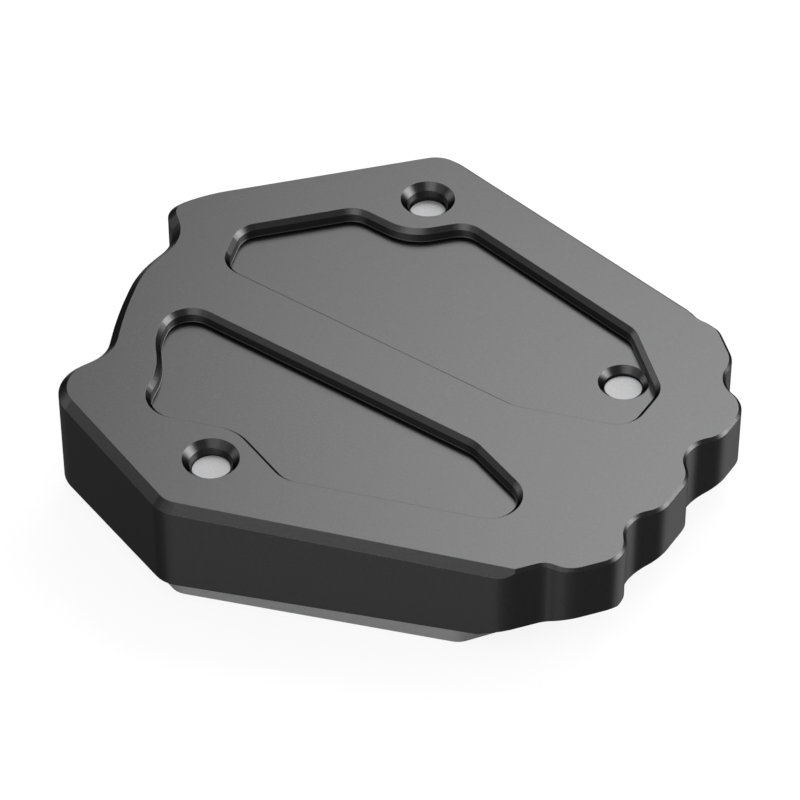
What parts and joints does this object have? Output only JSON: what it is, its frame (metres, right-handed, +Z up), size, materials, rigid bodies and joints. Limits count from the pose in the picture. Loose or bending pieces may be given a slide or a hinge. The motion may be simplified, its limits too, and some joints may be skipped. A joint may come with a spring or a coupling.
{
  "type": "kickstand foot enlarger",
  "caption": "Wedge-shaped black plate with shallow pockets and a scalloped side, held by countersunk screws to a flat plate that clamps the foot of a side stand.",
  "frame": {"origin": "on the clamp plate's outer face, on which the part lies, below the middle of the base plate's length and width", "axes": "+Z up, from the clamp plate to the ground face, which leans by 3 degrees; +X along the plate to its scalloped side, +Y to its back"},
  "size_m": [0.0966, 0.0854, 0.02],
  "materials": {
    "anodised": "satin black anodised",
    "bare_aluminium": "satin",
    "screw_steel": "satin"
  },
  "bodies": {
    "root": {"base_plate": "anodised", "clamp_plate": "bare_aluminium", "screw_back": "screw_steel", "screw_right": "screw_steel", "screw_front": "screw_steel"}
  },
  "joints": []
}
